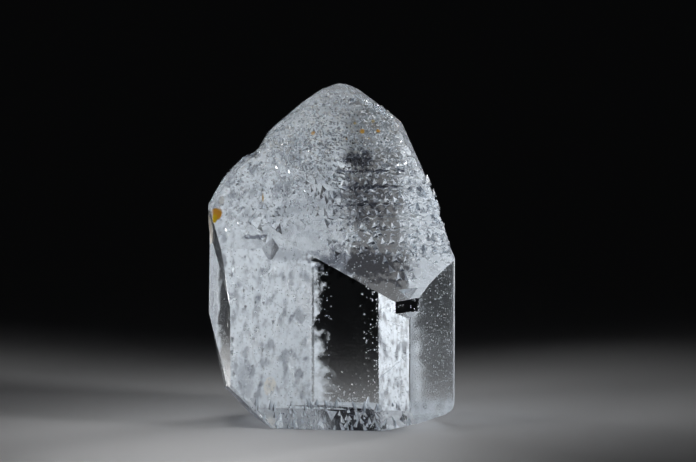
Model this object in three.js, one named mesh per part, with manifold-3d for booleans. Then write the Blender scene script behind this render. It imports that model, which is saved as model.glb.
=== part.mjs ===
// A goshenite specimen: one colourless beryl crystal, 20 mm tall, standing on its own flat base.
// It is a stubby six-sided prism whose end has been dissolved into one long stepped slope that faces
// the front, with a rounded shoulder on the left, rows of tooth-shaped hillocks along the steps and a
// chipped rim around the base.
// Millimetres, +Z up, the origin under the middle of the crystal. -Y is the front, where the broad
// window face and the long slope above it look.
import * as THREE from 'three';
import { mergeVertices } from 'three/addons/utils/BufferGeometryUtils.js';
import Module from 'manifold-3d';

const wasm = await Module();
wasm.setup();

// ---------------------------------------------------------------- helpers
const RAD = Math.PI / 180;
const UP = new THREE.Vector3(0, 0, 1);
const STOCK = 80; // side of the blank that the crystal is cut from, and of every cutting block

// The same numbers on every run.
function randomFrom(seed) {
  let s = seed;
  return (low = 0, high = 1) => {
    s = (s + 0x6d2b79f5) | 0;
    let t = Math.imul(s ^ (s >>> 15), 1 | s);
    t = (t + Math.imul(t ^ (t >>> 7), 61 | t)) ^ t;
    return low + ((high - low) * ((t ^ (t >>> 14)) >>> 0)) / 4294967296;
  };
}

// A three.js geometry as a solid that can be cut and joined.
function solid(geometry) {
  const g = geometry.clone();
  for (const name of Object.keys(g.attributes)) {
    if (name !== 'position') g.deleteAttribute(name);
  }
  const merged = mergeVertices(g, 1e-5);
  return new wasm.Manifold(
    new wasm.Mesh({
      numProp: 3,
      vertProperties: new Float32Array(merged.attributes.position.array),
      triVerts: new Uint32Array(merged.index.array),
    }),
  );
}

// azimuth: degrees from the front (-Y) towards +X.
// slope: 0 is a flat top, 90 an upright face and 180 the underside.
function facet(azimuth, slope, through) {
  const a = azimuth * RAD;
  const s = slope * RAD;
  const normal = new THREE.Vector3(Math.sin(a) * Math.sin(s), -Math.cos(a) * Math.sin(s), Math.cos(s));
  return { normal, offset: normal.dot(new THREE.Vector3(...through)) };
}

// A block that fills everything above the z = 0 plane of a placement.
function blockAbove(placement) {
  const block = new THREE.BoxGeometry(STOCK, STOCK, STOCK).translate(0, 0, STOCK / 2);
  return solid(block.applyMatrix4(placement));
}

// Everything outside a facet, as a block to cut with.
function beyond({ normal, offset }) {
  const turn = new THREE.Quaternion().setFromUnitVectors(UP, normal);
  const turned = new THREE.Matrix4().makeRotationFromQuaternion(turn);
  return blockAbove(turned.setPosition(normal.clone().multiplyScalar(offset)));
}

// The narrow facets that round the edge between two facets: tangent planes of a cylinder of that radius.
function rounding(a, b, radius, count) {
  const made = [];
  for (let i = 1; i <= count; i += 1) {
    const t = i / (count + 1);
    const normal = a.normal.clone().multiplyScalar(1 - t).addScaledVector(b.normal, t);
    const length = normal.length();
    const axisAt = ((1 - t) * (a.offset - radius) + t * (b.offset - radius)) / length;
    made.push({ normal: normal.divideScalar(length), offset: axisAt + radius });
  }
  return made;
}

// A tetrahedron, whichever way round its corners are given.
function tetra(points) {
  const [a, b, c, d] = points.map((p) => new THREE.Vector3(...p));
  const handed = b.clone().sub(a).cross(c.clone().sub(a)).dot(d.clone().sub(a)) > 0;
  const g = new THREE.BufferGeometry().setFromPoints([a, b, c, d]);
  g.setIndex(handed ? [0, 2, 1, 0, 1, 3, 1, 2, 3, 2, 0, 3] : [0, 1, 2, 0, 3, 1, 1, 3, 2, 2, 3, 0]);
  return solid(g);
}

// ---------------------------------------------------------------- the main faces
const PRISM_TURN = -10; // azimuth of the window face: it looks a little to the left
const prism = (k, through) => facet(PRISM_TURN + 60 * k, 90, through);

const FLOOR = 0.2; // height of the flat base before the whole crystal is set down on z = 0
const RIDGE = [4.52, -6.0, 7.79]; // top of the upright edge nearest the front, where the slope starts
const SLOPE_AZIMUTH = 20; // the long slope sits over that edge, midway between two prism faces
const SLOPE_ANGLE = 45.5;
const SLOPE_RISE = 0.14; // the stepped slope stands this proud of its foot; two smooth lips take it up

const longSlope = facet(SLOPE_AZIMUTH, SLOPE_ANGLE, RIDGE);
longSlope.offset += SLOPE_RISE;

const faces = {
  window: prism(0, RIDGE),
  rightFront: prism(1, RIDGE),
  rightBack: prism(2, [7.26, -2.66, 0]),
  back: prism(3, [1.6, 7.6, 0]),
  leftBack: prism(4, [-7.3, -0.2, 0]),
  left: facet(-90, 90, [-7.35, 0, 0]),
  longSlope,
  lipLeft: facet(14, 52.7, [3.84, -5.88, 7.84]),
  lipRight: facet(26, 55.3, [6.87, -3.2, 9.94]),
  windowSlope: facet(-12, 50, [-3.72, -4.55, 10.96]),
  crown: facet(19, 25, [-1.64, 3.46, 18.98]),
  crownRight: facet(69, 31, [1.93, 4.71, 18.93]),
  rightBevel: facet(76, 53, [3.78, 4.18, 17.78]),
  backSlope: facet(-170, 76, [0.3, 6.75, 20.0]),
  backRightSlope: facet(130, 66, [4.0, 5.9, 17.4]),
  leftLow: facet(-84, 102, [-7.35, -0.2, 6.6]),
  base: facet(0, 180, [0, 0, FLOOR]),
  baseFront: facet(-10, 126, [0, -4.2, FLOOR]),
  baseLeft: facet(-78, 135, [-4.35, 0, FLOOR]),
  baseRight: facet(75, 166, [4.2, 0, FLOOR]),
  baseRightCorner: facet(80, 108, [7.16, -2.5, 1.39]),
  baseBack: facet(170, 136, [0, 7.1, FLOOR]),
};

// The shoulder's crest, from the left side up to the peak. One facet falls to the back of each stretch;
// the upper stretches also have one that falls to the front.
const SHOULDER = [
  [-7.32, -0.6, 11.57],
  [-7.23, -0.5, 12.68],
  [-6.99, -0.3, 13.9],
  [-6.58, 0.1, 14.6],
  [-5.98, 0.7, 15.28],
  [-3.42, 3.4, 17.7],
  [-1.93, 4.7, 18.9],
  [-1.16, 5.4, 19.42],
  [-0.62, 5.9, 19.75],
  [-0.15, 6.4, 19.9],
];
const SHOULDER_FRONT = -72; // azimuths of the facets on either side of the crest
const SHOULDER_BACK = -118;
const FIRST_FRONT = 3; // the lowest stretch with a front facet

// The facet of a given azimuth that holds the line from p to q.
function facetAlong(p, q, azimuth) {
  const a = azimuth * RAD;
  const [dx, dy, dz] = q.map((value, i) => value - p[i]);
  return facet(azimuth, Math.atan2(dz, Math.cos(a) * dy - Math.sin(a) * dx) / RAD, p);
}

for (let i = 1; i < SHOULDER.length; i += 1) {
  const stretch = [SHOULDER[i - 1], SHOULDER[i]];
  faces[`shoulderBack${i}`] = facetAlong(...stretch, SHOULDER_BACK);
  if (i >= FIRST_FRONT) faces[`shoulderFront${i}`] = facetAlong(...stretch, SHOULDER_FRONT);
}

// Worn edges: pairs of faces, the radius of the rounding and how many narrow facets make it.
const WORN_EDGES = [
  ['window', 'rightFront', 0.12, 1],
  ['rightFront', 'rightBack', 0.5, 2],
  ['rightBack', 'back', 0.4, 2],
  ['back', 'leftBack', 0.4, 2],
  ['crown', 'backSlope', 0.3, 1],
  ['crownRight', 'backRightSlope', 0.5, 1],
  ['crown', 'crownRight', 1.5, 1],
  ['crownRight', 'rightBevel', 2.0, 1],
  ['longSlope', 'windowSlope', 3.0, 1],
  ['baseFront', 'baseLeft', 0.6, 1],
  ['window', 'baseLeft', 0.4, 1],
  ['baseRightCorner', 'baseRight', 0.6, 2],
];

// ---------------------------------------------------------------- placing detail on a facet
// A flat frame on a facet: u runs to the right, w runs uphill and n stands out of the crystal.
function frameOn(f, at) {
  const n = f.normal;
  const u = new THREE.Vector3().crossVectors(UP, n).normalize();
  const w = new THREE.Vector3().crossVectors(n, u);
  const spot = new THREE.Vector3(...at);
  spot.addScaledVector(n, f.offset - n.dot(spot));
  return new THREE.Matrix4().makeBasis(u, w, n).setPosition(spot);
}

const place = (frame, points) => points.map((p) => new THREE.Vector3(...p).applyMatrix4(frame).toArray());

// Corners given about a spot of a facet, turned about it and set on the floor there.
function cornersAt([u, w], turn, floor, corners) {
  const c = Math.cos(turn * RAD);
  const s = Math.sin(turn * RAD);
  return corners.map(([du, dw, rise]) => {
    const cu = u + du * c - dw * s;
    const cw = w + du * s + dw * c;
    return [cu, cw, floor(cu, cw) + rise];
  });
}

const flat = () => 0; // the floor of a facet with no steps

// A tooth: a low hillock with its point uphill, a sharp crest that climbs towards its foot and a
// steep foot.
const SINK = 0.03; // how far each tooth is rooted in the face it stands on
function tooth(frame, spot, { width, length, height, turn = 0, lean = 0, floor = flat }) {
  const corners = [
    [lean * width, length, -SINK],
    [-width / 2, 0, -SINK],
    [width / 2, 0, -SINK],
    [lean * width * 0.3, 0.06 * length, height],
  ];
  return tetra(place(frame, cornersAt(spot, turn, floor, corners)));
}

// A pit: the same shape pressed inwards with its point downhill, deepest near its broad end.
const OVER = 0.03; // how far each cutting shape stands out of the face it cuts
function pit(frame, spot, { width, length, height, turn = 0, floor = flat }) {
  const corners = [
    [0, -length, OVER],
    [-width / 2, 0, OVER],
    [width / 2, 0, OVER],
    [0, -0.3 * length, -height],
  ];
  return tetra(place(frame, cornersAt(spot, turn, floor, corners)));
}

// A cleft: a slit from one point of a facet to another, one wall steep and the other a shallow ramp.
function cleft(frame, [u1, w1], [u2, w2], { width, depth, side = 1 }) {
  const du = u2 - u1;
  const dw = w2 - w1;
  const across = (side * width) / Math.hypot(du, dw);
  const mu = (u1 + u2) / 2;
  const mw = (w1 + w2) / 2;
  const corners = [
    [u1, w1, OVER],
    [u2, w2, OVER],
    [mu - across * dw, mw + across * du, OVER],
    [mu, mw, -depth],
  ];
  return tetra(place(frame, corners));
}

// ---------------------------------------------------------------- the steps of the long slope
// The slopes are worked first, so that the faces cut afterwards trim their steps and teeth cleanly.
const SLOPES = ['longSlope', 'lipLeft', 'lipRight', 'windowSlope', 'backSlope'];
let crystal = solid(new THREE.BoxGeometry(STOCK, STOCK, STOCK));
for (const name of SLOPES) crystal = crystal.subtract(beyond(faces[name]));

const slope = frameOn(longSlope, RIDGE);
const random = randomFrom(7);

// Each step: where its foot and head lie up the slope, how far it runs left and right, and how deep
// its head is cut.
const STEPS = [
  { foot: 3.35, head: 4.45, left: -0.6, right: 4.6, drop: 0.16 },
  { foot: 4.45, head: 5.7, left: -2.6, right: 4.6, drop: 0.14 },
  { foot: 5.7, head: 6.7, left: -4.6, right: 4.5, drop: 0.12 },
  { foot: 6.7, head: 7.65, left: -3.4, right: 4.4, drop: 0.15 },
  { foot: 7.65, head: 8.95, left: -3.2, right: 4.2, drop: 0.17 },
  { foot: 8.95, head: 10.2, left: -2.9, right: 4.0, drop: 0.15 },
  { foot: 10.2, head: 11.15, left: -4.4, right: 3.8, drop: 0.1 },
  { foot: 11.15, head: 12.1, left: -4.2, right: 3.7, drop: 0.09 },
  { foot: 12.1, head: 13.2, left: -3.8, right: 3.4, drop: 0.09 },
  { foot: 13.2, head: 14.2, left: -3.2, right: 3.0, drop: 0.08 },
];
const STEP_FADE = 0.9; // how far in from its left end a step reaches its full depth

const stepAt = (u, w) => STEPS.find((s) => w >= s.foot && w < s.head && u > s.left && u < s.right);

// How far the stepped surface lies below the plain slope.
function stepFloor(u, w) {
  const step = stepAt(u, w);
  if (!step) return 0;
  const fade = Math.min(1, (u - step.left) / STEP_FADE);
  return (-step.drop * fade * (w - step.foot)) / (step.head - step.foot);
}

const RAGGED = 0.26; // how far the points of a step's head reach down its tread

// How much of a step's tread is left above a point before its ragged head begins.
function stepRoom(u, w) {
  const step = stepAt(u, w);
  return step ? step.head - RAGGED - 0.03 - w : 1;
}

// The tread of a step leans back from its foot; its head ends in a ragged riser of little points.
function stepCut({ foot, head, left, right, drop }) {
  const outline = new THREE.Shape();
  outline.moveTo(left, foot);
  outline.lineTo(right, foot);
  outline.lineTo(right, head);
  let u = right;
  let out = true;
  while (u > left + STEP_FADE) {
    u -= random(0.22, 0.42);
    outline.lineTo(u, head - (out ? random(0.4, 1) * RAGGED : random(0, 0.05)));
    out = !out;
  }
  outline.lineTo(left, head - RAGGED);
  const block = new THREE.ExtrudeGeometry(outline, { depth: 2, bevelEnabled: false }).translate(0, 0, -1);
  const lean = Math.atan2(drop, head - foot);
  const tread = new THREE.Matrix4().makeRotationX(-lean).setPosition(0, foot, 0);
  const fade = Math.atan2(drop, STEP_FADE);
  const end = new THREE.Matrix4().makeRotationY(fade).setPosition(left, 0, 0);
  const cut = solid(block).intersect(blockAbove(tread)).intersect(blockAbove(end));
  return cut.transform(slope.toArray());
}
for (const step of STEPS) crystal = crystal.subtract(stepCut(step));

// ---------------------------------------------------------------- teeth on the long slope
// How far the crystal's surface lies below a frame's plane where other facets cut under it.
function under(frame, facets) {
  const normal = new THREE.Vector3().setFromMatrixColumn(frame, 2);
  return (u, w) => {
    const spot = new THREE.Vector3(u, w, 0).applyMatrix4(frame);
    return Math.min(0, ...facets.map((f) => (f.offset - f.normal.dot(spot)) / f.normal.dot(normal)));
  };
}

const underLips = under(slope, [faces.lipLeft, faces.lipRight, faces.windowSlope, faces.crown]);
const slopeFloor = (u, w) => Math.min(stepFloor(u, w), underLips(u, w));

// One row of teeth side by side along the slope.
function toothRow(frame, floor, { at, from, to, size, gap = 0.08 }) {
  const row = [];
  let u = from;
  while (u < to) {
    const width = size * random(0.75, 1.2);
    const middle = u + width / 2;
    const length = Math.min(width * random(1.15, 1.6), stepRoom(middle, at));
    const height = width * random(0.28, 0.4);
    const turn = random(-9, 9);
    const lean = random(-0.12, 0.2);
    row.push(tooth(frame, [middle, at], { width, length, height, turn, lean, floor }));
    u += width * random(0.95, 1.1) + gap * random(0, 2);
  }
  return row;
}

// The strong rows stand on the feet of the steps, with a weaker row half way up each broad step.
const ROWS = [
  { at: 4.47, from: -1.6, to: 3.6, size: 0.6 },
  { at: 5.72, from: -2.9, to: 3.6, size: 0.52 },
  { at: 5.15, from: -2.2, to: 2.4, size: 0.4, gap: 0.2 },
  { at: 6.72, from: -4.2, to: 3.6, size: 0.5 },
  { at: 6.25, from: -3.8, to: 2.4, size: 0.38, gap: 0.2 },
  { at: 7.67, from: -3.0, to: 3.2, size: 0.58 },
  { at: 7.2, from: -4.0, to: 2.2, size: 0.4, gap: 0.24 },
  { at: 8.97, from: -2.6, to: 3.2, size: 0.56 },
  { at: 8.4, from: -2.6, to: 2.4, size: 0.46, gap: 0.16 },
  { at: 10.22, from: -4.2, to: -1.6, size: 0.42, gap: 0.2 },
  { at: 10.22, from: 0.8, to: 3.2, size: 0.4, gap: 0.2 },
  { at: 9.7, from: 0.4, to: 2.8, size: 0.4, gap: 0.2 },
  { at: 11.17, from: -3.8, to: 2.9, size: 0.36, gap: 0.16 },
  { at: 12.12, from: -3.6, to: 2.9, size: 0.34, gap: 0.16 },
  { at: 13.22, from: -3.2, to: 2.4, size: 0.32, gap: 0.16 },
  // the large teeth above the corner where the two prism faces and the slope meet
  { at: 3.7, from: -1.3, to: 0.9, size: 0.56 },
  { at: 3.05, from: -1.0, to: 0.9, size: 0.52 },
  { at: 2.4, from: -0.7, to: 0.8, size: 0.48 },
  { at: 1.8, from: -0.4, to: 0.6, size: 0.42 },
];

// Small marks scattered over a patch of a facet, one to a cell of a loose grid, where there is room.
const anywhere = () => 1;
function scatter(mark, frame, floor, patch) {
  const { from, to, cell, size, share } = patch;
  const { turn = 25, stretch = 1.3, height = 0.3, room = anywhere } = patch;
  const made = [];
  for (let u = from[0]; u < to[0]; u += cell) {
    for (let w = from[1]; w < to[1]; w += cell) {
      const spot = [u + cell * random(0.25, 0.75), w + cell * random(0.1, 0.5)];
      const width = size * random(0.6, 1.25);
      const length = width * stretch * random(0.8, 1.2);
      const rise = width * height * random(0.7, 1.3);
      const shape = { width, length, height: rise, turn: random(-turn, turn), floor };
      if (random() < share && length < room(...spot)) made.push(mark(frame, spot, shape));
    }
  }
  return made;
}

const ridge = { stretch: 0.45, height: 0.14 }; // low and much wider than long
const SLOPE_PATCHES = [
  { from: [-5.2, 6.0], to: [-3.2, 11.0], cell: 0.5, size: 0.36, share: 0.7 },
  { from: [-4.6, 11.4], to: [-2.2, 15.2], cell: 0.5, size: 0.3, share: 0.7 },
  { from: [-2.0, 14.3], to: [2.0, 15.6], cell: 0.45, size: 0.3, share: 0.7 },
  { from: [2.2, 3.4], to: [4, 8.4], cell: 0.62, size: 0.8, share: 0.9, turn: 14, ...ridge },
];
const slopeTeeth = [
  ...ROWS.flatMap((row) => toothRow(slope, slopeFloor, row)),
  ...SLOPE_PATCHES.flatMap((patch) => scatter(tooth, slope, slopeFloor, { ...patch, room: stepRoom })),
];
for (const piece of slopeTeeth) crystal = crystal.add(piece);

// ---------------------------------------------------------------- the left slope above the window face
const leftSlope = frameOn(faces.windowSlope, [-3.72, -4.55, 10.96]);
const leftFloor = under(leftSlope, [faces.longSlope, faces.shoulderFront4, faces.shoulderFront5]);
const LEFT_PATCHES = [
  { from: [-1.6, 1.6], to: [1.5, 4.8], cell: 0.48, size: 0.34, share: 0.7 },
  { from: [-1.4, 5.0], to: [0.6, 8.4], cell: 0.5, size: 0.28, share: 0.55 },
];
for (const patch of LEFT_PATCHES) {
  for (const piece of scatter(tooth, leftSlope, leftFloor, patch)) crystal = crystal.add(piece);
}

// ---------------------------------------------------------------- the back slope
const backSlope = frameOn(faces.backSlope, [0.3, 6.75, 20.0]);
const BACK_PATCHES = [
  { from: [-2.4, -4.6], to: [2.6, -2.4], cell: 0.7, size: 0.5, share: 0.75 },
  { from: [-2.0, -2.4], to: [1.8, -0.6], cell: 0.62, size: 0.36, share: 0.7 },
];
for (const patch of BACK_PATCHES) {
  for (const piece of scatter(tooth, backSlope, flat, patch)) crystal = crystal.add(piece);
}

// ---------------------------------------------------------------- the remaining faces
for (const [name, f] of Object.entries(faces)) {
  if (!SLOPES.includes(name)) crystal = crystal.subtract(beyond(f));
}
for (const [a, b, radius, count] of WORN_EDGES) {
  for (const f of rounding(faces[a], faces[b], radius, count)) crystal = crystal.subtract(beyond(f));
}

// Pairs of faces that meet in a hollow: only what lies outside both of them is taken away.
const HOLLOWS = [
  // the narrow left-front face: leaning out at the top, upright lower down
  [prism(-1, [-5.98, -4.15, 0]), facet(-79, 98.4, [-7.11, -2.36, 12.67])],
  // the notch in the shoulder's crest
  [facet(-85, 57, [-4.5, 1.5, 16.1]), facet(-75, 14, [-4.5, 1.5, 16.1])],
  // the chip on the front edge, below the foot of the long slope
  [facet(SLOPE_AZIMUTH, 89, [4.38, -5.6, 7.5]), facet(16, 40, [4.52, -6.0, 6.95])],
  // growth steps on the three back faces
  [prism(4, [-7.2, -0.2, 0]), facet(-100, 30, [-5.0, 3.6, 12.6])],
  [prism(4, [-7.2, -0.14, 0]), facet(150, 24, [-3.0, 7.0, 6.4])],
  [prism(3, [1.6, 7.5, 0]), facet(-150, 20, [1.6, 7.6, 9.6])],
  [prism(2, [7.19, -2.66, 0]), facet(170, 26, [6.0, 1.0, 5.2])],
];
for (const [f, g] of HOLLOWS) crystal = crystal.subtract(beyond(f).intersect(beyond(g)));

// ---------------------------------------------------------------- clefts and dents
// Slits left where flakes have sprung off the left slope: start, end, width and depth.
const CLEFTS = [
  [[-1.55, 1.9], [-0.45, 1.1], { width: 0.42, depth: 0.3 }],
  [[-0.95, 1.15], [-0.2, 0.25], { width: 0.5, depth: 0.34 }],
  [[-2.0, 1.35], [-1.2, 0.6], { width: 0.4, depth: 0.26 }],
  [[-0.55, 2.0], [0.75, 0.9], { width: 0.55, depth: 0.26 }],
  [[-0.1, 2.75], [0.45, 2.3], { width: 0.3, depth: 0.2, side: -1 }],
  [[-2.1, 3.0], [-1.75, 2.9], { width: 0.26, depth: 0.18, side: -1 }],
  [[0.1, 4.6], [0.35, 5.4], { width: 0.34, depth: 0.3 }],
  [[0.75, 3.8], [0.95, 4.5], { width: 0.34, depth: 0.26, side: -1 }],
  [[-2.3, 2.3], [-1.8, 3.1], { width: 0.3, depth: 0.16 }],
];
const dents = CLEFTS.map(([from, to, shape]) => cleft(leftSlope, from, to, shape));

// The dent above the chipped corner, and the scoop in the lower edge of the left slope.
const CORNER_DENT = [[-0.9, 1.3, 0.1], [1.25, 1.3, 0.1], [0.1, -0.3, 0.1], [0.1, 1.1, -0.52]];
const LEFT_SCOOP = [[-0.9, -0.5, 0.1], [1.2, -0.5, 0.1], [0.1, 0.9, 0.05], [0.1, -0.5, -0.5]];
dents.push(tetra(place(slope, CORNER_DENT)), tetra(place(leftSlope, LEFT_SCOOP)));

// Small chips down the right-hand edge of the long slope: height up the slope and size.
const EDGE_CHIPS = [[9.3, 0.3], [7.5, 0.42], [6.6, 0.5], [5.9, 0.3], [4.9, 0.5], [3.9, 0.55]];
for (const [w, size] of EDGE_CHIPS) {
  const edge = 4.75 - 0.17 * w;
  const corners = [
    [edge + 0.3, w - size, 0.4],
    [edge + 0.35, w + size * 0.8, 0.4],
    [edge - size * 0.7, w, OVER],
    [edge + 0.2, w, -size],
  ];
  dents.push(tetra(place(slope, corners)));
}

// Pits etched into the top of the long slope, the shoulder and two of the back faces.
const leftBackFace = frameOn(faces.leftBack, [-5, 4, 8]);
const rightBackFace = frameOn(faces.rightBack, [6, 1, 6]);
const square = { stretch: 1, height: 0.25 };
const PITTED = [
  [slope, slopeFloor, { from: [-3.6, 10.4], to: [2.8, 15.4], cell: 0.56, size: 0.26, share: 0.55 }],
  [leftSlope, leftFloor, { from: [-3.2, 1.6], to: [-1.6, 5.0], cell: 0.6, size: 0.2, share: 0.5 }],
  [leftBackFace, flat, { from: [-2.6, -6], to: [2.4, 4.5], cell: 1, size: 0.36, share: 0.5, ...square }],
  [rightBackFace, flat, { from: [-3, -4], to: [2, 4.6], cell: 1.1, size: 0.34, share: 0.45, ...square }],
];
for (const [frame, floor, patch] of PITTED) dents.push(...scatter(pit, frame, floor, patch));
for (const dent of dents) crystal = crystal.subtract(dent);

// ---------------------------------------------------------------- the chipped rim around the base
// Side by side notches, some pointing up and some down, along a bevel of the base.
function rimNotches(name, at, from, to) {
  const frame = frameOn(faces[name], at);
  const made = [];
  let u = from;
  while (u < to) {
    const width = random(0.32, 0.7);
    const pointUp = random() < 0.6;
    const long = random(0.8, 1.35);
    made.push(
      pit(frame, [u + width / 2, pointUp ? -0.72 : 0.72], {
        width,
        length: long,
        height: width * random(0.35, 0.55),
        turn: (pointUp ? 180 : 0) + random(-14, 14),
      }),
    );
    u += width + random(0.05, 0.4);
  }
  return made;
}

const rim = [
  ...rimNotches('baseFront', [0, -4.7, 0.9], -4.4, 4.4),
  ...rimNotches('baseLeft', [-4.9, 0, 1.0], -4.2, 4.6),
  ...rimNotches('baseBack', [1, 7.6, 0.8], -3.0, 2.6),
];
for (const piece of rim) crystal = crystal.subtract(piece);

// ---------------------------------------------------------------- hand over
// The crystal is set down on z = 0 with the middle of its extents over the origin.
const mesh = crystal.getMesh();
const geometry = new THREE.BufferGeometry();
geometry.setAttribute('position', new THREE.BufferAttribute(new Float32Array(mesh.vertProperties), 3));
geometry.setIndex(new THREE.BufferAttribute(new Uint32Array(mesh.triVerts), 1));
geometry.computeBoundingBox();
const { min, max } = geometry.boundingBox;
geometry.translate(-(min.x + max.x) / 2, -(min.y + max.y) / 2, -min.z);

const part = new THREE.Group();
const look = new THREE.MeshStandardMaterial({ color: 0xdfe6ea, roughness: 0.15, metalness: 0 });
const node = new THREE.Mesh(geometry, look);
node.name = 'goshenite_crystal';
part.add(node);
export default part;
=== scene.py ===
# %% [markdown]
# # A goshenite crystal in Blender
# Goshenite is beryl with no colour. This specimen is one natural crystal about 20 mm tall: a stubby
# six-sided prism whose end has been dissolved by hot water into a long stepped slope full of small
# teeth and pits. It stands on its own flat base.
#
# The solid that the crystal is measured from comes first. It already has the faces, the steps and the
# largest teeth. This script keeps that shape, grows the fine etching on it, makes the beryl clear, and
# lights it.

# %% Load the measured solid
import math

import bmesh
import bpy
import numpy as np
from mathutils import Matrix, Vector


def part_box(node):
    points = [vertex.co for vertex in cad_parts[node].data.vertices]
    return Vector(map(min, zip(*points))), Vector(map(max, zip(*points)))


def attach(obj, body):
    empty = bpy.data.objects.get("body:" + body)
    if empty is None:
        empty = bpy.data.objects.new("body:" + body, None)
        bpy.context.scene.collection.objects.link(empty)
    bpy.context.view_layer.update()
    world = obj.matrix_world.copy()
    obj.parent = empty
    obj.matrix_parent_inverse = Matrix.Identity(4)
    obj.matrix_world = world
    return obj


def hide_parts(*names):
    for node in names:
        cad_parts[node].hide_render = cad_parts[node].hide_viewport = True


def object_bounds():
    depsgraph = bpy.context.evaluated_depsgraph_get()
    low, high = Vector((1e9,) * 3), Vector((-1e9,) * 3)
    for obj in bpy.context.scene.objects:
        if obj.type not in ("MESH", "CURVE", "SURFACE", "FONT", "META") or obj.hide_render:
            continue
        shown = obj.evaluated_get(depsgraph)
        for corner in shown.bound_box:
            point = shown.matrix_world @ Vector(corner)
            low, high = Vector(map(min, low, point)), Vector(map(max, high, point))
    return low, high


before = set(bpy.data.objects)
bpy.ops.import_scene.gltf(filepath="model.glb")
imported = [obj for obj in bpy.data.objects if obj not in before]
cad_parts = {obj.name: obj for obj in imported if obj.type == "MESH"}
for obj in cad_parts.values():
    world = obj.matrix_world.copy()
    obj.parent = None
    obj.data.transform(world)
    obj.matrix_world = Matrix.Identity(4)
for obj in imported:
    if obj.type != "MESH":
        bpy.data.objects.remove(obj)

cad_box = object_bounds()
NODE = "goshenite_crystal"
MM = 0.001
low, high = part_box(NODE)
print("crystal, mm:", [round(side / MM, 2) for side in high - low])

# %% [markdown]
# ## Directions on a crystal
# A crystal is easiest to describe by where its faces look. Two angles are enough: the azimuth, counted
# from the front towards the right, and the slope, which is 0 for a level top and 90 for an upright face.
# A small class keeps the three directions that belong to a face, so that every mark can be placed by
# how far right and how far uphill it lies.

# %% Faces and places on them
class Face:
    """A flat face: u runs to the right, w runs uphill and n looks out of the crystal."""

    def __init__(self, azimuth, slope, through):
        a, s = math.radians(azimuth), math.radians(slope)
        self.n = Vector((math.sin(a) * math.sin(s), -math.cos(a) * math.sin(s), math.cos(s)))
        self.u = Vector((0, 0, 1)).cross(self.n).normalized()
        self.w = self.n.cross(self.u)
        self.through = Vector(through)

    def at(self, u, w):
        """The place that lies u right and w uphill of the point the face was given, in millimetres."""
        return self.through + self.u * u + self.w * w


PRISM_TURN = -10  # the window face looks a little to the left
LEVEL = 179.9  # the underside is tipped by a hair, so that its own right and uphill are defined
FACES = {
    "window": Face(PRISM_TURN, 90, (0.0, -6.0, 5.0)),
    "right_front": Face(PRISM_TURN + 60, 90, (6.0, -5.0, 5.0)),
    "right_back": Face(PRISM_TURN + 120, 90, (7.2, -1.0, 8.0)),
    "back": Face(PRISM_TURN + 180, 90, (1.7, 6.63, 8.0)),
    "left_back": Face(PRISM_TURN + 240, 90, (-5.9, 1.4, 7.0)),
    "left": Face(-79, 98.4, (-7.04, -3.33, 12.47)),
    "long_slope": Face(20, 45.5, (4.59, -6.97, 7.59)),
    "left_slope": Face(-12, 50, (-3.65, -5.52, 10.76)),
    "shoulder_back": Face(-118, 50, (-4.5, 0.7, 16.0)),
    "shoulder_front": Face(-72, 50, (-4.3, 0.6, 16.0)),
    "crown": Face(19, 25, (-1.57, 2.49, 18.78)),
    "back_slope": Face(-170, 76, (0.37, 5.78, 19.8)),
    "base_front": Face(-10, 126, (0.07, -5.6, 0.7)),
    "base": Face(0, LEVEL, (0.0, 0.0, 0.0)),
    "chip": Face(20, 89, (4.48, -6.55, 7.53)),
    "crown_right": Face(69, 31, (2.0, 3.74, 18.73)),
    "right_bevel": Face(76, 53, (3.85, 3.21, 17.58)),
}
print("faces described:", len(FACES))

# %% [markdown]
# ## One way to write a node tree
# Both the etching and the finish are node trees. Written out node by node they are hard to read, so a
# small class wraps a socket and lets sums be written as sums: `1 - mask` adds the Math node for us. Any
# other node comes from one method that takes its type, its settings and its inputs.

# %% Sockets that can be added and multiplied
def found(sockets, key):
    """A socket by its place, name or identifier; unused twins of a name are passed over."""
    if isinstance(key, int):
        return sockets[key]
    return next(s for s in sockets if s.enabled and key in (s.name, s.identifier))


class Wire:
    """An output socket. Each operator adds the Math node that it stands for."""

    def __init__(self, tree, socket):
        self.tree = tree
        self.socket = socket

    def math(self, operation, *values):
        return self.tree.add("ShaderNodeMath", {"operation": operation}, dict(enumerate(values)))[0]

    def __add__(self, other):
        return self.math("ADD", self, other)

    def __sub__(self, other):
        return self.math("SUBTRACT", self, other)

    def __rsub__(self, other):
        return self.math("SUBTRACT", other, self)

    def __mul__(self, other):
        return self.math("MULTIPLY", self, other)

    def __truediv__(self, other):
        return self.math("DIVIDE", self, other)

    def __gt__(self, other):
        return self.math("GREATER_THAN", self, other)

    __radd__ = __add__
    __rmul__ = __mul__

    def at_most(self, other):
        return self.math("MINIMUM", self, other)

    def at_least(self, other):
        return self.math("MAXIMUM", self, other)

    def rise(self, start, end, low=0.0, high=1.0):
        """Goes smoothly from low to high while this goes from start to end."""
        values = {"Value": self, "From Min": start, "From Max": end, "To Min": low, "To Max": high}
        return self.tree.add("ShaderNodeMapRange", {"interpolation_type": "SMOOTHSTEP"}, values)[0]


class Outputs:
    """The outputs of one node, by name or by place."""

    def __init__(self, tree, node):
        self.tree = tree
        self.node = node

    def __getitem__(self, key):
        return Wire(self.tree, found(self.node.outputs, key))


class Tree:
    """A node tree that is written from top to bottom."""

    def __init__(self, nodes):
        self.nodes = nodes

    def add(self, kind, settings=None, inputs=None):
        node = self.nodes.nodes.new(kind)
        for name, value in (settings or {}).items():
            setattr(node, name, value)
        for key, value in (inputs or {}).items():
            socket = found(node.inputs, key)
            for one in value if isinstance(value, list) else [value]:
                if isinstance(one, Wire):
                    self.nodes.links.new(one.socket, socket)
                else:
                    socket.default_value = one
        return Outputs(self, node)


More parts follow.
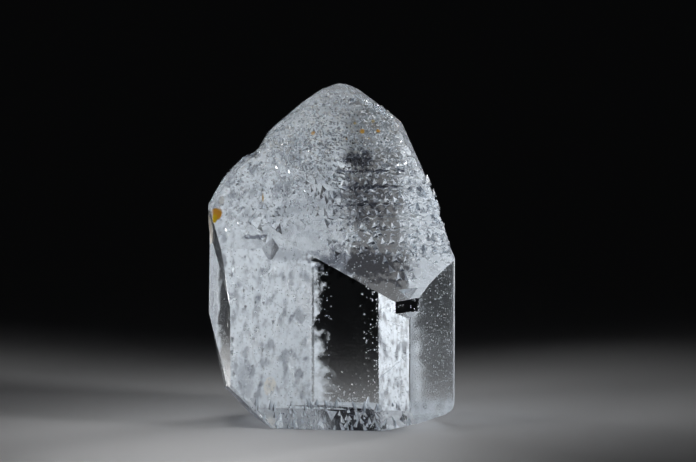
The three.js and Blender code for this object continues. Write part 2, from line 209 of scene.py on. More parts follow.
# %% [markdown]
# ## The clear body
# The measured solid is a bag of loose triangles. Its corners are merged first, because everything that
# grows on it needs to know inside from outside. Nothing is smoothed: flat faces with sharp edges are
# what makes a crystal flash. The copy is worked on in millimetres, because the joining and cutting
# that follow lose their footing on shapes of a few hundredths of a millimetre counted in metres.

# %% A merged copy of the solid
SAME_PLACE = 1e-8  # metres


def merged_copy(node, name):
    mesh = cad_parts[node].data.copy()
    mesh.materials.clear()
    shape = bmesh.new()
    shape.from_mesh(mesh)
    bmesh.ops.remove_doubles(shape, verts=shape.verts, dist=SAME_PLACE)
    bmesh.ops.scale(shape, verts=shape.verts, vec=Vector((1, 1, 1)) / MM)
    open_edges = sum(not edge.is_manifold for edge in shape.edges)
    shape.to_mesh(mesh)
    shape.free()
    print(name, "corners:", len(mesh.vertices), "open edges:", open_edges)
    piece = bpy.data.objects.new(name, mesh)
    bpy.context.collection.objects.link(piece)
    return piece


crystal = merged_copy(NODE, "beryl_crystal")

# %% [markdown]
# ## Etch marks
# Hot water eats beryl along its own directions, so the marks on one face all look alike: little
# three-cornered teeth left standing, or little three-cornered pits. Each mark here is a tetrahedron of
# four faces. Its point lies uphill, its crest climbs towards its foot, and its foot is steep.

# %% One tooth and one pit
def mark_shape(name, corners):
    mesh = bpy.data.meshes.new(name)
    mesh.from_pydata(corners, [], [(0, 2, 1), (0, 1, 3), (1, 2, 3), (2, 0, 3)])
    shape = bmesh.new()
    shape.from_mesh(mesh)
    bmesh.ops.recalc_face_normals(shape, faces=shape.faces)
    shape.to_mesh(mesh)
    shape.free()
    mark = bpy.data.objects.new(name, mesh)
    bpy.context.collection.objects.link(mark)
    return mark


ROOT = 0.12  # how far a mark reaches through the face, as a share of its height
tooth = mark_shape("tooth", [(0, 1, -ROOT), (-0.5, 0, -ROOT), (0.5, 0, -ROOT), (0.04, 0.1, 1)])
pit = mark_shape("pit", [(0, -0.6, ROOT), (-0.5, 0.4, ROOT), (0.5, 0.4, ROOT), (0.03, 0.16, -1)])
MARKS = [tooth, pit]

# %% [markdown]
# ## Etching a face
# Thousands of marks have to sit exactly on a surface that already has steps and teeth. Placing them by
# hand is hopeless, and a bump in the finish would vanish at the outline. So Geometry Nodes lay a loose
# grid of points over a face, drop each point onto the crystal with a ray, put a mark where the ray met
# a surface that looks the right way, and join the marks to the crystal or cut them out of it. The same
# tree does every face: only its inputs change.

# %% The tree that etches
DROP_FROM = 4.0  # how far above a face its points start, in millimetres
DROP_REACH = 9.0  # how far they may fall
PATCH_SCALE = 0.9  # the noise that thins the marks has lumps of about a millimetre
ETCH_INPUTS = [
    ("Mark", "NodeSocketObject"),
    ("Centre", "NodeSocketVector"),
    ("Facing", "NodeSocketVector"),
    ("Uphill", "NodeSocketVector"),
    ("Wide", "NodeSocketFloat"),
    ("Tall", "NodeSocketFloat"),
    ("Spacing", "NodeSocketFloat"),
    ("Size", "NodeSocketFloat"),
    ("Stretch", "NodeSocketFloat"),
    ("Relief", "NodeSocketFloat"),
    ("Turn", "NodeSocketFloat"),
    ("Share at Foot", "NodeSocketFloat"),
    ("Share at Head", "NodeSocketFloat"),
    ("Same Way", "NodeSocketFloat"),
    ("Patchy", "NodeSocketFloat"),
    ("Seed", "NodeSocketInt"),
    ("Finish", "NodeSocketMaterial"),
]


def etch_tree(name, operation):
    group = bpy.data.node_groups.new(name, "GeometryNodeTree")
    face = group.interface
    face.new_socket(name="Crystal", in_out="INPUT", socket_type="NodeSocketGeometry")
    face.new_socket(name="Crystal", in_out="OUTPUT", socket_type="NodeSocketGeometry")
    for label, kind in ETCH_INPUTS:
        face.new_socket(name=label, in_out="INPUT", socket_type=kind)
    tree = Tree(group)
    given = tree.add("NodeGroupInput")
    seed = given["Seed"]

    def random(low, high, which):
        settings = {"data_type": "FLOAT"}
        values = {"Min": low, "Max": high, "Seed": seed * 17 + which}
        return tree.add("FunctionNodeRandomValue", settings, values)["Value"]

    # a loose grid of points over the face
    counts = {"Size X": given["Wide"], "Size Y": given["Tall"]}
    counts["Vertices X"] = (given["Wide"] / given["Spacing"]) + 1
    counts["Vertices Y"] = (given["Tall"] / given["Spacing"]) + 1
    grid = tree.add("GeometryNodeMeshGrid", None, counts)["Mesh"]
    reach = given["Spacing"] * 0.4
    shift = tree.add("ShaderNodeCombineXYZ", None, {
        "X": random(-1.0, 1.0, 1) * reach,
        "Y": random(-1.0, 1.0, 2) * reach,
    })["Vector"]
    loose = tree.add("GeometryNodeSetPosition", None, {"Geometry": grid, "Offset": shift})["Geometry"]
    own = tree.add("GeometryNodeInputPosition")["Position"]
    spread = tree.add("ShaderNodeSeparateXYZ", None, {"Vector": own})["Y"] / given["Tall"] + 0.5
    kept = tree.add("GeometryNodeStoreNamedAttribute", {"data_type": "FLOAT", "domain": "POINT"}, {
        "Geometry": loose, "Name": "uphill", "Value": spread,
    })["Geometry"]
    turned = tree.add("FunctionNodeAxesToRotation", {"primary_axis": "Z", "secondary_axis": "Y"}, {
        "Primary Axis": given["Facing"], "Secondary Axis": given["Uphill"],
    })["Rotation"]
    above = tree.add("ShaderNodeVectorMath", {"operation": "SCALE"}, {
        0: given["Facing"], "Scale": DROP_FROM,
    })["Vector"]
    start = tree.add("ShaderNodeVectorMath", {"operation": "ADD"}, {0: given["Centre"], 1: above})["Vector"]
    placed = tree.add("GeometryNodeTransform", None, {
        "Geometry": kept, "Translation": start, "Rotation": turned,
    })["Geometry"]

    # each point is dropped onto the crystal
    down = tree.add("ShaderNodeVectorMath", {"operation": "SCALE"}, {
        0: given["Facing"], "Scale": -1.0,
    })["Vector"]
    ray = tree.add("GeometryNodeRaycast", {"data_type": "FLOAT"}, {
        "Target Geometry": given["Crystal"], "Ray Direction": down, "Ray Length": DROP_REACH,
    })
    along = tree.add("ShaderNodeVectorMath", {"operation": "DOT_PRODUCT"}, {
        0: ray["Hit Normal"], 1: given["Facing"],
    })["Value"]
    uphill = tree.add("GeometryNodeInputNamedAttribute", {"data_type": "FLOAT"}, {"Name": "uphill"})
    climb = uphill["Attribute"]
    share = given["Share at Foot"] * (1 - climb) + given["Share at Head"] * climb
    blotch = tree.add("ShaderNodeTexNoise", None, {
        "Vector": ray["Hit Position"], "Scale": PATCH_SCALE, "Detail": 2.0,
    })["Fac"]
    wanted = share + (blotch - 0.5) * given["Patchy"] - random(0.0, 1.0, 3)
    chosen = ray["Is Hit"] * (along > given["Same Way"]) * (wanted > 0)
    landed = tree.add("GeometryNodeSetPosition", None, {
        "Geometry": placed, "Position": ray["Hit Position"],
    })["Geometry"]

    # a mark on each chosen point, near enough the same way round as its neighbours
    spin = tree.add("FunctionNodeAxisAngleToRotation", None, {
        "Axis": (0, 0, 1), "Angle": random(-1.0, 1.0, 4) * given["Turn"],
    })["Rotation"]
    way = tree.add("FunctionNodeRotateRotation", {"rotation_space": "LOCAL"}, {
        "Rotation": turned, "Rotate By": spin,
    })["Rotation"]
    width = given["Size"] * random(0.6, 1.3, 5)
    scale = tree.add("ShaderNodeCombineXYZ", None, {
        "X": width,
        "Y": width * given["Stretch"] * random(0.8, 1.25, 6),
        "Z": width * given["Relief"] * random(0.6, 1.3, 7),
    })["Vector"]
    form = tree.add("GeometryNodeObjectInfo", None, {"Object": given["Mark"]})["Geometry"]
    set_out = tree.add("GeometryNodeInstanceOnPoints", None, {
        "Points": landed, "Selection": chosen, "Instance": form, "Rotation": way, "Scale": scale,
    })["Instances"]
    real = tree.add("GeometryNodeRealizeInstances", None, {"Geometry": set_out})["Geometry"]
    whole = tree.add("GeometryNodeTriangulate", None, {"Mesh": given["Crystal"]})["Mesh"]
    settings = {"operation": operation, "solver": "MANIFOLD"}
    if operation == "UNION":
        joined = tree.add("GeometryNodeMeshBoolean", settings, {"Mesh 2": [whole, real]})
    else:
        joined = tree.add("GeometryNodeMeshBoolean", settings, {"Mesh 1": whole, "Mesh 2": real})
    solid = tree.add("GeometryNodeRealizeInstances", None, {"Geometry": joined["Mesh"]})["Geometry"]
    done = tree.add("GeometryNodeSetMaterial", None, {"Geometry": solid, "Material": given["Finish"]})
    tree.add("NodeGroupOutput", None, {"Crystal": done["Geometry"]})
    return group


TEETH = etch_tree("raised teeth", "UNION")
PITS = etch_tree("etched pits", "DIFFERENCE")

# %% [markdown]
# ## Where each kind of mark grows
# The table says what each face gets: a patch by its middle and its size in millimetres, how close the
# marks stand, and how large they are. Teeth crowd the long slope, its upper end and the left slope are
# covered with a fine pebble, and a comb of teeth runs along the foot. The upright faces get none: they
# are mirror-flat, and their fine specks are left to the finish.

# %% The etching, patch by patch
ETCHING = [
    # face, middle (u, w), wide, tall, kind, spacing, size, stretch, relief, turn, foot, head, same, patchy
    ("long_slope", (0.3, 6.8), 7.4, 6.6, "tooth", 0.40, 0.34, 2.2, 0.50, 16, 0.55, 0.45, 0.72, 1.8),
    ("long_slope", (0.2, 7.4), 8.0, 7.0, "pit", 0.30, 0.34, 1.2, 0.55, 50, 0.20, 0.55, 0.70, 1.8),
    ("long_slope", (2.2, 7.4), 2.3, 9.0, "tooth", 0.24, 0.42, 0.5, 0.30, 12, 0.70, 0.70, 0.70, 0.8),
    ("long_slope", (0.0, 6.8), 8.4, 7.4, "tooth", 0.22, 0.18, 2.0, 0.50, 24, 0.50, 0.60, 0.76, 1.6),
    ("long_slope", (-1.0, 12.7), 8.0, 6.6, "tooth", 0.14, 0.17, 1.1, 0.50, 60, 0.80, 0.85, 0.75, 0.9),
    ("long_slope", (-1.0, 12.3), 8.0, 6.6, "pit", 0.22, 0.22, 1.1, 0.60, 90, 0.60, 0.50, 0.75, 1.4),
    ("left_slope", (-0.4, 5.4), 5.0, 7.6, "tooth", 0.16, 0.18, 1.2, 0.50, 60, 0.40, 0.85, 0.75, 1.4),
    ("left_slope", (-0.6, 4.4), 5.0, 6.8, "pit", 0.24, 0.26, 1.1, 0.60, 90, 0.30, 0.60, 0.75, 1.8),
    ("shoulder_front", (0.0, 0.6), 5.0, 7.0, "tooth", 0.17, 0.18, 1.1, 0.36, 90, 0.70, 0.70, 0.75, 1.0),
    ("shoulder_back", (0.0, 0.0), 9.0, 9.0, "pit", 0.28, 0.26, 1.1, 0.35, 90, 0.60, 0.60, 0.70, 1.2),
    ("crown", (0.0, 0.6), 4.4, 4.4, "pit", 0.24, 0.18, 1.1, 0.35, 90, 0.30, 0.30, 0.90, 1.2),
    ("back_slope", (0.0, -2.6), 6.0, 5.0, "pit", 0.28, 0.26, 1.2, 0.36, 30, 0.60, 0.60, 0.80, 1.2),
    ("base_front", (0.0, 0.1), 9.0, 1.8, "tooth", 0.26, 0.26, 2.2, 0.45, 20, 0.60, 0.60, 0.80, 1.0),
]


def etch(piece, finish):
    """Adds one modifier for each patch, each with its own inputs."""
    for number, row in enumerate(ETCHING):
        name, middle, wide, tall, kind, spacing, size, stretch, relief, turn, foot, head, same, patchy = row
        face = FACES[name]
        given = {
            "Mark": tooth if kind == "tooth" else pit,
            "Centre": face.at(*middle),
            "Facing": face.n,
            "Uphill": face.w,
            "Wide": wide,
            "Tall": tall,
            "Spacing": spacing,
            "Size": size,
            "Stretch": stretch,
            "Relief": relief,
            "Turn": math.radians(turn),
            "Share at Foot": foot,
            "Share at Head": head,
            "Same Way": same,
            "Patchy": patchy,
            "Seed": number + 1,
            "Finish": finish,
        }
        step = piece.modifiers.new(f"{kind} {name}", "NODES")
        step.node_group = TEETH if kind == "tooth" else PITS
        sockets = {s.name: s.identifier for s in step.node_group.interface.items_tree if s.in_out == "INPUT"}
        for label, value in given.items():
            step[sockets[label]] = value


# %% [markdown]
# ## Stains, and painted shade where the ground looks dark
# Some marks lie at known places. Water that carried iron left rust in a few pits and cream on the
# frosted back. And where the ground between the teeth is glassy and deep it looks dark, because the eye
# falls through the stone to whatever lies beyond. Over a pale floor that darkness would be lost, so it
# is painted in: the glass is darkened there, and so is the white skin where it is milky, as painted
# shade. Each mark is a soft-edged ball or disc in space that colours what it meets, so it needs no image
# and no unwrapping. The tables give middles and half sizes in millimetres.

# %% Where the stains and the painted shade lie
STAINS = [
    # what, middle, half sizes, colour, how strong
    ("rust spot", (-6.75, -3.35, 12.6), (0.36, 0.70, 0.48), (1.0, 0.42, 0.02), 1.0),
    ("rust, bright", (-6.87, -3.55, 12.35), (0.16, 0.5, 0.34), (1.0, 0.64, 0.0), 1.0),
    ("tan above it", (-6.45, -2.75, 13.4), (0.20, 0.5, 0.36), (0.80, 0.64, 0.38), 0.5),
    ("streak", (-4.03, -2.99, 13.5), (0.06, 0.6, 0.42), (0.80, 0.45, 0.06), 0.9),
    ("left edge", (-7.15, -2.0, 11.7), (0.35, 1.4, 1.1), (0.92, 0.66, 0.36), 0.6),
    ("fleck", (1.83, 1.79, 17.16), (0.20, 0.4, 0.16), (0.85, 0.50, 0.10), 1.0),
    ("fleck", (2.79, 2.13, 17.14), (0.14, 0.4, 0.12), (0.80, 0.42, 0.06), 1.0),
    ("fleck", (-1.10, 0.70, 17.11), (0.12, 0.4, 0.12), (0.80, 0.45, 0.10), 0.9),
    ("fleck", (1.40, 2.35, 17.60), (0.12, 0.4, 0.12), (0.80, 0.60, 0.15), 0.8),
    ("fleck", (2.50, 2.60, 17.70), (0.12, 0.4, 0.12), (0.80, 0.60, 0.20), 0.8),
    ("fleck", (0.90, 1.30, 16.70), (0.10, 0.4, 0.10), (0.85, 0.52, 0.12), 0.9),
    ("fleck", (2.25, 1.35, 16.75), (0.11, 0.4, 0.10), (0.85, 0.50, 0.10), 1.0),
    ("fleck", (-2.60, -0.30, 16.00), (0.10, 0.5, 0.12), (0.80, 0.50, 0.16), 0.9),
    ("fleck", (-3.20, -1.20, 15.30), (0.09, 0.5, 0.12), (0.80, 0.52, 0.20), 0.8),
    ("cream", (-3.09, 3.76, 1.9), (0.7, 0.7, 0.6), (0.95, 0.80, 0.55), 0.6),
]
# painted shade: places where the glass and the milky skin are darkened, standing in for the dark seen
# through the stone
PAINTED_SHADE_SPOTS = [
    # what, middle, half sizes, how strong
    ("foot of the slope", (1.9, -5.6, 9.9), (2.8, 1.2, 1.2), 0.90),
    ("among the ledges", (1.9, -2.0, 13.2), (1.5, 2.0, 1.8), 0.75),
    ("nest below the peak", (1.6, 0.1, 15.5), (0.9, 0.9, 0.8), 0.95),
    ("lip of the upper ledge", (2.0, -0.4, 14.9), (2.3, 1.5, 0.11), 0.97),
    ("lip of the middle ledge", (2.2, -1.4, 14.0), (2.1, 1.5, 0.10), 0.97),
    ("lip of the lower ledge", (1.9, -2.65, 13.05), (2.5, 1.5, 0.12), 0.97),
    ("cleft on the left", (-4.7, -4.9, 11.35), (0.9, 0.6, 0.13), 0.95),
    ("cleft below it", (-4.2, -4.6, 10.8), (0.6, 0.6, 0.12), 0.95),
    ("pitted nest", (-2.8, -3.5, 14.0), (0.8, 0.8, 0.40), 0.60),
    ("bow on the frosted back", (-1.8, 5.2, 9.8), (1.6, 1.6, 0.45), 0.60),
    ("dim patch near the foot", (-4.7, 1.8, 2.3), (0.6, 0.8, 1.3), 0.55),
]
print("stains:", len(STAINS), "dark places:", len(PAINTED_SHADE_SPOTS))

# %% [markdown]
# ## Masks
# A mask is a number from 0 to 1 that says how much of something there is at each spot. All of them
# are made from noise in the crystal's own space, from its height and width, and from the numbers that
# each small face will carry (they are painted on further down). Noise of several sizes is used, because
# nothing on a grown crystal repeats.

# %% Helpers for masks and tints
PER_METRE = 1 / MM  # turns a place in metres into millimetres


def noise(tree, place, scale, detail):
    """Noise about 0.5, in lumps of about one part in `scale` of a metre."""
    return tree.add("ShaderNodeTexNoise", None, {"Vector": place, "Scale": scale, "Detail": detail})["Fac"]


def tinted(tree, share, base, tint):
    """The base colour, turned into the tint by that share."""
    values = {"Factor_Float": share, "A_Color": base, "B_Color": tint}
    return tree.add("ShaderNodeMix", {"data_type": "RGBA"}, values)["Result_Color"]


def away_from(tree, place, middle, half):
    """How far a spot lies from a middle, counted in half sizes: 1 is the edge of the ball."""
    for operation, values in (("SUBTRACT", middle), ("DIVIDE", half)):
        inputs = {0: place, 1: tuple(value * MM for value in values)}
        place = tree.add("ShaderNodeVectorMath", {"operation": operation}, inputs)["Vector"]
    return tree.add("ShaderNodeVectorMath", {"operation": "LENGTH"}, {0: place})["Value"]


# %% The masks of the skin
LAYERS = ("frost", "milk", "speck", "pane", "ground", "shade")  # what each small face carries
CLOUD, DRIFT, MOTTLE, GRAIN = 650.0, 1250.0, 2600.0, 11000.0  # noises, by their lumps to a metre
SPECK_CELLS = 8200.0  # cells to a metre, with one speck at most in each
SPECK_SIZE = 0.22  # radius of the smallest speck, as a share of a cell
SPECK_GROWTH = 0.16  # how much larger the largest is
ALL_MILK = (0.86, 0.90)  # only the two side-back faces have this much milk
PALE_GROUND = [
    # where the long slope's ground starts to turn pale and where it has (mm), how pale it gets
    ("across", 1.2, -0.6, 0.22),
    ("across", 3.7, 4.8, 0.45),
    ("up", 14.6, 16.4, 0.45),
]


def skin_masks(tree, place):
    """Everything that varies over the crystal, by name."""
    own = {name: tree.add("ShaderNodeAttribute", {"attribute_name": name})["Fac"] for name in LAYERS}
    parts = tree.add("ShaderNodeSeparateXYZ", None, {"Vector": place})
    across, back, up = (parts[axis] * PER_METRE for axis in "XYZ")
    cloud = noise(tree, place, CLOUD, 4.0)
    drift = noise(tree, place, DRIFT, 1.5)
    mottle = noise(tree, place, MOTTLE, 3.0)
    grain = noise(tree, place, GRAIN, 2.0)

    # the long slope's ground is pale to the left, to the right and near the peak
    wander = {"across": across + (cloud - 0.5) * 3, "up": up + (cloud - 0.5) * 4}
    pale = 0.0
    for axis, start, end, most in PALE_GROUND:
        pale = (wander[axis].rise(start, end) * most).at_least(pale)
    pale = pale * own["ground"]

    # and painted shade where the table says so, with edges that the noise frays
    dark = 0.0
    for what, middle, half, strength in PAINTED_SHADE_SPOTS:
        far = away_from(tree, place, middle, half) + (drift - 0.5) * 1.2 + (mottle - 0.5) * 2.4
        dark = (far.rise(1.25, 0.7) * strength).at_least(dark)

    # small round specks, one to a cell, crowded at the sides and the foot of the clear faces
    cell = tree.add("ShaderNodeTexVoronoi", None, {"Vector": place, "Scale": SPECK_CELLS})
    chance = tree.add("ShaderNodeSeparateColor", None, {"Color": cell["Color"]})
    sides = across.rise(2.4, 3.8).at_least(across.rise(0.2, -0.8) * 0.8)
    crowd = sides.at_least(up.rise(3.2, 0.3)) * 0.75
    density = own["speck"] * (1 - own["pane"] + own["pane"] * crowd) * mottle.rise(0.36, 0.62, 0.4, 1.6)
    radius = SPECK_SIZE + chance["Green"] * SPECK_GROWTH
    specks = (cell["Distance"] - radius).rise(0.05, -0.03) * (density > chance["Red"])

    # the milk runs a little way past the corner on to the back, further towards the foot
    ragged = across + (drift - 0.5) * 2.6 + (mottle - 0.5) * 1.2
    hem = ragged.rise(up.rise(6.0, 0.0) * 1.6 + 0.2, -0.4) * own["pane"] * back.rise(3.0, 4.0)

    blotchy = cloud.rise(0.50, 0.68, 1.0, 0.55) * mottle.rise(0.45, 0.7, 1.0, 0.75)
    # the white skin darkens in random blotches on the milky faces and a little everywhere, and as painted
    # shade on the shady flanks of the marks and under the painted shade spots
    dusk = drift.rise(0.47, 0.66) * own["milk"].rise(*ALL_MILK) * 0.75
    dusk = dusk + mottle.rise(0.52, 0.64) * 0.25 + own["shade"]
    return {
        "white": (own["milk"] + pale * (1 - dark)) * blotchy + hem * 0.9 + specks * 0.8,
        "dusk": dusk.at_least(dark * own["milk"].rise(0.7, 0.9)).at_most(1.0),
        "dark": dark,
        "tan": mottle.rise(0.50, 0.60) * up.rise(13.0, 16.0) * 0.9,
        "fray": (mottle - 0.5) * 1.2,
        "rough": 0.01 + (own["frost"] + pale * 0.5) * cloud.rise(0.3, 0.7, 0.7, 1.3),
        "relief": (grain + mottle) * (own["frost"] + own["milk"] + pale),
    }


# %% [markdown]
# ## The finish of beryl
# Colourless beryl is a clear solid with an index of refraction of 1.58, hard and glossy where it is not
# etched. What looks white on it is not paint: it is etching too fine to see, which scatters light. Fine
# facets for that would need millions of faces, so the finish mixes two things by one mask: plain glass,
# and a white sugary skin that shines back and also lets light through, as frosted glass does. Held up
# to a light from behind, the frosted faces glow and the clear ones show what lies beyond.

# %% Clear beryl with a frosted skin
BERYL_IOR = 1.58
BERYL_DEPTH = (0.86, 0.93, 1.0, 1.0)  # a faint blue in the depth of the stone
BERYL_ABSORPTION = 6.0  # for each metre of depth
GLASS = (0.985, 0.99, 1.0, 1.0)  # colours are red, green, blue and a last 1 that is not used
# painted shade: the glass turns this dark where the painted shade spots lie
GLASS_IN_PAINTED_SHADE = (0.03, 0.035, 0.06, 1.0)
SUGAR = (0.80, 0.86, 0.92, 1.0)
# the skin's colour in its dark blotches and in its painted shade
SUGAR_BLOTCHED_AND_SHADED = (0.13, 0.15, 0.21, 1.0)
TAN = (0.76, 0.62, 0.40, 1.0)
SUGAR_ROUGHNESS = 0.4
LET_THROUGH = 0.65  # how much of the light that meets the skin passes through it
STAIN_COVER = 0.85  # how much of the glass a full stain hides
MOST_SKIN = 0.97  # a little glass shows through even the whitest skin
RELIEF_STRENGTH = 0.6
RELIEF_DEPTH = 0.00004  # metres


def beryl_finish():
    finish = bpy.data.materials.new("beryl")
    finish.use_nodes = True
    finish.node_tree.nodes.clear()
    tree = Tree(finish.node_tree)
    place = tree.add("ShaderNodeTexCoord")["Object"]
    mask = skin_masks(tree, place)
    sugar_colour = tinted(tree, mask["tan"], SUGAR, TAN)
    # the skin turns dark blue in its blotches and in its painted shade
    sugar_colour = tinted(tree, mask["dusk"], sugar_colour, SUGAR_BLOTCHED_AND_SHADED)
    # the glass is darkened by the painted shade
    glass_colour = tinted(tree, mask["dark"], GLASS, GLASS_IN_PAINTED_SHADE)
    white, stained = mask["white"], 0.0
    for what, middle, half, stain, strength in STAINS:
        held = (away_from(tree, place, middle, half) + mask["fray"]).rise(1.1, 0.6) * strength
        sugar_colour = tinted(tree, held, sugar_colour, (*stain, 1.0))
        glass_colour = tinted(tree, held, glass_colour, (*stain, 1.0))
        white = white.at_least(held * STAIN_COVER)
        stained = held.at_least(stained)

    bump = tree.add("ShaderNodeBump", None, {
        "Strength": RELIEF_STRENGTH, "Distance": RELIEF_DEPTH, "Height": mask["relief"],
    })["Normal"]
    glass = tree.add("ShaderNodeBsdfPrincipled", None, {
        "Base Color": glass_colour, "Roughness": mask["rough"], "IOR": BERYL_IOR,
        "Transmission Weight": 1.0, "Normal": bump,
    })["BSDF"]
    sugar = tree.add("ShaderNodeBsdfPrincipled", None, {
        "Base Color": sugar_colour, "Roughness": SUGAR_ROUGHNESS, "IOR": BERYL_IOR, "Normal": bump,
    })["BSDF"]
    glow = tree.add("ShaderNodeBsdfTranslucent", None, {"Color": SUGAR})["BSDF"]
    # the dark blotches and the painted shade also dim the skin's glow
    through = LET_THROUGH * (1 - mask["dusk"]) * (1 - stained)
    skin = tree.add("ShaderNodeMixShader", None, {0: through, 1: sugar, 2: glow})["Shader"]
    surface = tree.add("ShaderNodeMixShader", None, {
        0: white.at_most(MOST_SKIN), 1: glass, 2: skin,
    })["Shader"]
    depth = tree.add("ShaderNodeVolumeAbsorption", None, {
        "Color": BERYL_DEPTH, "Density": BERYL_ABSORPTION,
    })["Volume"]
    tree.add("ShaderNodeOutputMaterial", None, {"Surface": surface, "Volume": depth})
    print("beryl:", len(finish.node_tree.nodes), "nodes")
    return finish


beryl = beryl_finish()

# %% [markdown]
# ## Growing the marks
# The etching runs as a stack of modifiers and is then kept as an ordinary mesh, so that nothing has to
# be grown again when the crystal is looked at or exported. Two things are put right on the way: crumbs
# that the cutting left loose are taken off, and the few tooth tips that reach past the measured solid
# are drawn back to it.

# %% Grow the marks and keep the plain result
def keep_largest(mesh):
    """Cutting can leave crumbs that touch nothing; only the largest joined piece stays."""
    shape = bmesh.new()
    shape.from_mesh(mesh)
    pieces, seen = [], set()
    for start in shape.verts:
        if start in seen:
            continue
        seen.add(start)
        piece = [start]
        for corner in piece:
            for edge in corner.link_edges:
                other = edge.other_vert(corner)
                if other not in seen:
                    seen.add(other)
                    piece.append(other)
        pieces.append(piece)
    pieces.sort(key=len)
    crumbs = [corner for piece in pieces[:-1] for corner in piece]
    bmesh.ops.delete(shape, geom=crumbs, context="VERTS")
    shape.to_mesh(mesh)
    shape.free()
    print("crumbs removed:", len(pieces) - 1)


def draw_into_box(mesh):
    """No corner lies outside the box of the measured solid."""
    spots = np.empty(len(mesh.vertices) * 3)
    mesh.vertices.foreach_get("co", spots)
    spots = spots.reshape(-1, 3)
    inside = np.clip(spots, *np.array(cad_box))
    mesh.vertices.foreach_set("co", inside.ravel())
    mesh.update()
    print("corners drawn back into the box:", int((inside != spots).any(axis=1).sum()))


def made_plain(piece):
    """The evaluated shape as an ordinary mesh, with the modifiers gone."""
    seen = piece.evaluated_get(bpy.context.evaluated_depsgraph_get())
    mesh = bpy.data.meshes.new_from_object(seen)
    piece.modifiers.clear()
    keep_largest(mesh)
    mesh.transform(Matrix.Scale(MM, 4))
    draw_into_box(mesh)
    piece.data = mesh
    return mesh


etch(crystal, beryl)
mesh = made_plain(crystal)
for mark in MARKS:
    bpy.data.objects.remove(mark)
triangles = sum(len(face.vertices) - 2 for face in mesh.polygons)
print("etched crystal: corners", len(mesh.vertices), "faces", len(mesh.polygons), "triangles", triangles)

# %% [markdown]
# ## What each small face carries
# The finish reads six numbers from each small face. Frost is roughness, milk is white skin, speck is how
# many specks there are, pane marks the two clear faces where specks keep to the rim, ground marks the
# long slope, and shade is painted shade that darkens the skin. They are worked out from where a face
# looks: one that looks the way of a crystal face takes that face's numbers, and any other is the flank
# of a tooth or a pit. A flank that looks to the right is painted light with extra milk, and the other
# flanks and the steep feet are painted in shade.
# The window and the back stay clear, the two side-back faces are milky, and the slopes lie in between.

# %% Frost and milk, face by face
SKIN = {
    # face: least likeness, frost, milk, speck, pane, ground, shade
    "window": (0.96, 0.035, 0.0, 0.70, 1.0, 0.0, 0.0),
    "back": (0.90, 0.01, 0.0, 0.7, 1.0, 0.0, 0.0),
    "left_back": (0.90, 0.30, 0.95, 0.0, 0.0, 0.0, 0.0),
    "right_back": (0.90, 0.30, 0.95, 0.0, 0.0, 0.0, 0.0),
    "right_front": (0.97, 0.10, 0.10, 0.5, 0.0, 0.0, 0.0),
    "left": (0.97, 0.05, 0.04, 0.5, 0.0, 0.0, 0.0),
    "long_slope": (0.97, 0.04, 0.01, 0.25, 0.0, 1.0, 0.0),
    "left_slope": (0.97, 0.08, 0.10, 0.25, 0.0, 0.0, 0.0),
    "shoulder_front": (0.9, 0.20, 0.35, 0.4, 0.0, 0.0, 0.0),
    "shoulder_back": (0.9, 0.2, 0.5, 0.4, 0.0, 0.0, 0.0),
    "back_slope": (0.9, 0.15, 0.35, 0.4, 0.0, 0.0, 0.0),
    "crown": (0.99, 0.05, 0.04, 0.2, 0.0, 0.0, 0.0),
    "base": (0.95, 0.05, 0.02, 0.2, 0.0, 0.0, 0.0),
    "chip": (0.995, 0.02, 0.0, 0.1, 0.0, 0.0, 0.0),
    "crown_right": (0.99, 0.12, 0.25, 0.2, 0.0, 0.0, 0.0),
    "right_bevel": (0.97, 0.05, 0.05, 0.1, 0.0, 0.0, 0.0),
}
# painted light and painted shade on the marks' flanks: the flank that looks to the right gets more white
# milk, as if lit, and the other flank and the steep foot get less milk and painted shade
FLANK_PAINTED_LIGHT = (0.10, 0.85, 0.2, 0.0, 0.0, 0.0)  # a mark's flank that looks to the right
FLANK_PAINTED_SHADE = (0.06, 0.50, 0.1, 0.0, 0.0, 1.0)  # its other flank, and its steep foot
EDGE_ON = -0.02  # a flank that looks less to the right than this is in the shade


def paint_skin(mesh):
    normals = np.array([tuple(face.normal) for face in mesh.polygons])
    names = list(SKIN)
    likeness = normals @ np.array([FACES[name].n for name in names]).T
    nearest = likeness.argmax(axis=1)
    least = np.array([SKIN[name][0] for name in names])[nearest]
    values = np.array([SKIN[name][1:] for name in names])[nearest]
    near_enough = likeness.max(axis=1) > least
    to_right = normals @ np.array(FACES["long_slope"].u)
    # each flank that looks to the right gets the painted light, each other flank the painted shade
    flank = np.where((to_right > EDGE_ON)[:, None], FLANK_PAINTED_LIGHT, FLANK_PAINTED_SHADE)
    layers = np.where(near_enough[:, None], values, flank)
    for number, name in enumerate(LAYERS):
        layer = mesh.attributes.new(name, "FLOAT", "FACE")
        layer.data.foreach_set("value", layers[:, number].astype(np.float32))
    print("mean frost and milk:", [round(float(value), 3) for value in layers.mean(axis=0)[:2]])


paint_skin(mesh)
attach(crystal, "root")
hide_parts(NODE)

# %% [markdown]
# ## The floor
# A plain pale sheet that reaches far behind the crystal. It lies a hair under the base, so that the
# clear base and the floor never share one plane.

# %% Pale floor
FLOOR_GAP = 0.00001
FLOOR_HALF = 1.5


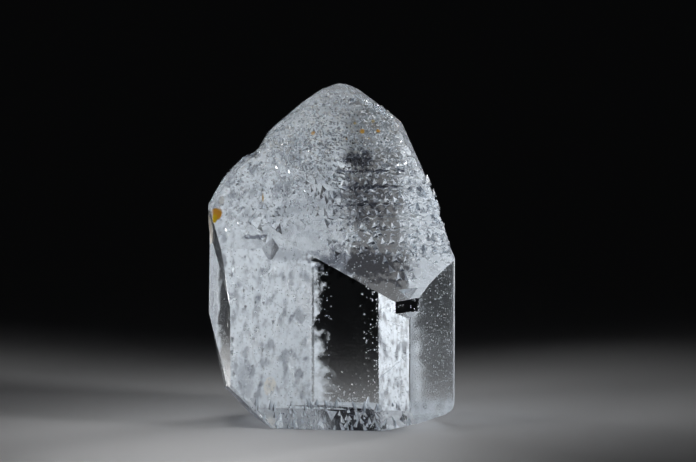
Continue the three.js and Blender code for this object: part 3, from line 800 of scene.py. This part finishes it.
def plain_floor():
    mesh = bpy.data.meshes.new("floor")
    h = FLOOR_HALF
    mesh.from_pydata([(-h, -h, 0), (h, -h, 0), (h, h, 0), (-h, h, 0)], [], [(0, 1, 2, 3)])
    mesh.transform(Matrix.Translation((0, 0, -FLOOR_GAP)))
    floor = bpy.data.objects.new("floor", mesh)
    bpy.context.collection.objects.link(floor)
    paper = bpy.data.materials.new("floor_paper")
    paper.use_nodes = True
    paper.node_tree.nodes.clear()
    tree = Tree(paper.node_tree)
    place = tree.add("ShaderNodeTexCoord")["Object"]
    fibre = tree.add("ShaderNodeTexNoise", None, {"Vector": place, "Scale": 2500.0, "Detail": 4.0})["Fac"]
    bump = tree.add("ShaderNodeBump", None, {"Strength": 0.1, "Distance": 0.0001, "Height": fibre})["Normal"]
    skin = tree.add("ShaderNodeBsdfPrincipled", None, {
        "Base Color": (0.55, 0.55, 0.56, 1.0), "Roughness": 0.6, "Normal": bump,
    })["BSDF"]
    tree.add("ShaderNodeOutputMaterial", None, {"Surface": skin})
    mesh.materials.append(paper)
    return floor


plain_floor()

# %% [markdown]
# ## Light
# A clear stone shows its lights more than its own surface. A small soft light from above keeps a pool
# of brightness on the floor in front and lets the floor behind fall away, so the clear window stays
# dark. Two softboxes give the slopes their sheen. Two more stand low behind, left and right: they light
# the frosted side-back faces from outside, which is what makes them glow through the clear stone, and
# they stand low enough to leave the floor behind in the dark.

# %% Lamps
def lamp(name, place, look_at, wide, tall, power, spread):
    light = bpy.data.lights.new(name, "AREA")
    light.shape = "RECTANGLE"
    light.size = wide * MM
    light.size_y = tall * MM
    light.energy = power
    light.spread = math.radians(spread)
    holder = bpy.data.objects.new(name, light)
    bpy.context.collection.objects.link(holder)
    holder.location = Vector(place) * MM
    holder.rotation_euler = (Vector(look_at) * MM - holder.location).to_track_quat("-Z", "Y").to_euler()


def around(azimuth, elevation, distance, height=10):
    """A place at that azimuth and elevation from a point above the crystal's foot, in millimetres."""
    a, e = math.radians(azimuth), math.radians(elevation)
    flat = distance * math.cos(e)
    return (flat * math.sin(a), -flat * math.cos(a), height + distance * math.sin(e))


LAMPS = [
    # name, place (mm), looks at (mm), wide (mm), tall (mm), power (W), spread (degrees)
    ("front pool", around(-12, 52, 80, 0), (-8, -18, 0), 20, 20, 0.0010, 24),
    ("left softbox", around(-60, 40, 90), (0, 0, 13), 34, 34, 0.0003, 22),
    ("right softbox", around(66, 18, 90), (0, 0, 12), 34, 34, 0.0015, 22),
    ("behind left", around(-122, 1, 90), (0, 0, 10), 30, 20, 0.0017, 24),
    ("behind right", around(134, 5, 90), (0, 0, 10), 30, 12, 0.0032, 24),
]
for row in LAMPS:
    lamp(*row)

world = bpy.data.worlds.new("dim room")
bpy.context.scene.world = world
world.use_nodes = True
air = world.node_tree.nodes["Background"].inputs
air["Color"].default_value = (0.5, 0.52, 0.55, 1.0)
air["Strength"].default_value = 0.006

# %% [markdown]
# ## Camera
# A long lens from a little above the crystal's middle, straight at its front.

# %% Camera
CAMERA_AIM = (0.989, -0.970, 11.370)
CAMERA_DISTANCE = 240
CAMERA_ELEVATION = 5
LENS = 208.5
SENSOR = 36


def add_camera():
    data = bpy.data.cameras.new("camera")
    data.lens = LENS
    data.sensor_width = SENSOR
    data.clip_start = 0.01
    camera = bpy.data.objects.new("camera", data)
    bpy.context.collection.objects.link(camera)
    aim = Vector(CAMERA_AIM) * MM
    e = math.radians(CAMERA_ELEVATION)
    camera.location = aim + Vector((0, -math.cos(e), math.sin(e))) * CAMERA_DISTANCE * MM
    camera.rotation_euler = (aim - camera.location).to_track_quat("-Z", "Y").to_euler()
    bpy.context.scene.camera = camera


add_camera()
cycles = bpy.context.scene.cycles
cycles.max_bounces = 16
cycles.glossy_bounces = 12
cycles.transmission_bounces = 16
bpy.context.scene.view_settings.view_transform = "Standard"
